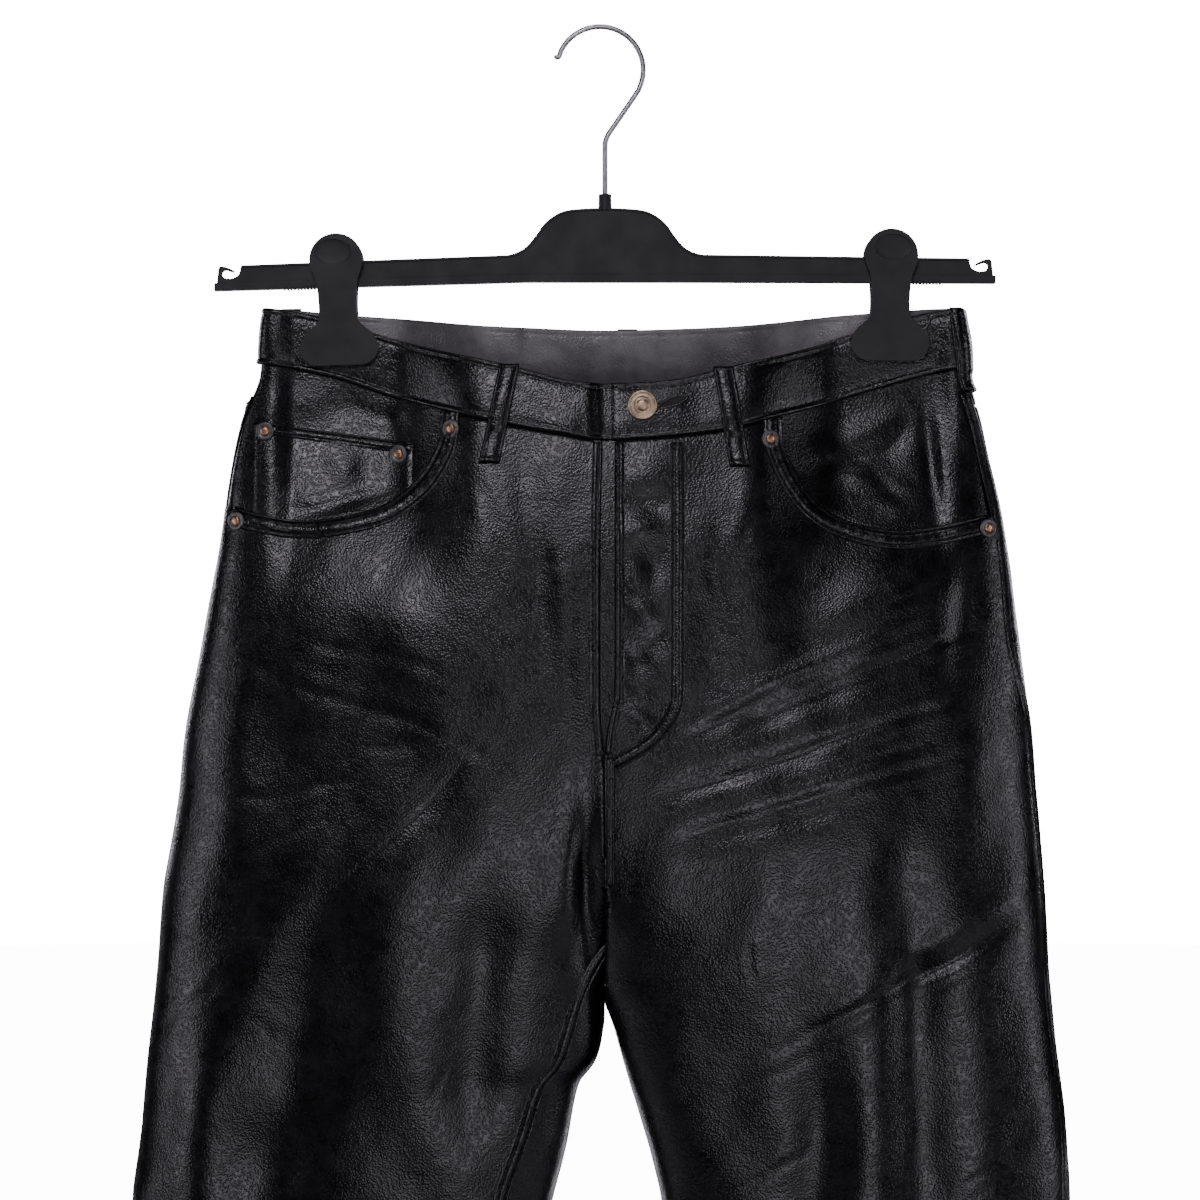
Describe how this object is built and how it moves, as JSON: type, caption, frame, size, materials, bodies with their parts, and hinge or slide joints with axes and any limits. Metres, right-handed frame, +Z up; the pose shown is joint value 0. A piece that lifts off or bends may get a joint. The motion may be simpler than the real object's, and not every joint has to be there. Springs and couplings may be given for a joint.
{
  "type": "leather trousers on a clip hanger",
  "caption": "Straight-leg leather trousers in a five-pocket cut with a button fly, hanging open and flat from the clips of a plastic bar hanger.",
  "frame": {"origin": "inside top of the hanger's hook, where a rail bears", "axes": "+Z up along the hook's stem, -Y out of the trousers' front, +X towards the wearer's left"},
  "size_m": [0.5355, 0.1015, 1.2241],
  "materials": {
    "leather": "black grained leather, semi-matt with soft grey highlights",
    "button_brass": "pale antique brass",
    "rivet_metal": "dull grey ring with a copper-coloured middle",
    "hanger_plastic": "black moulded plastic with a slight sheen",
    "hook_steel": "bright drawn steel wire, slightly dark"
  },
  "bodies": {
    "root": {"front_right": "leather", "front_left": "leather", "back_right": "leather", "back_left": "leather", "yoke_right": "leather", "yoke_left": "leather", "pocket_facing_right": "leather", "pocket_facing_left": "leather", "back_pocket_right": "leather", "back_pocket_left": "leather", "coin_pocket": "leather", "fly_shield": "leather", "waistband_right": "leather", "waistband_left": "leather", "belt_loop_front_right": "leather", "belt_loop_front_left": "leather", "belt_loop_side_right": "leather", "belt_loop_side_left": "leather", "belt_loop_back": "leather", "waist_button": "button_brass", "rivet_coin_outer": "rivet_metal", "rivet_coin_inner": "rivet_metal", "rivet_pocket_right": "rivet_metal", "rivet_side_right": "rivet_metal", "rivet_pocket_left": "rivet_metal", "rivet_side_left": "rivet_metal", "hanger_bar": "hanger_plastic", "clip_right_front": "hanger_plastic", "clip_right_back": "hanger_plastic", "clip_left_front": "hanger_plastic", "clip_left_back": "hanger_plastic", "hanger_hook": "hook_steel"}
  },
  "joints": []
}
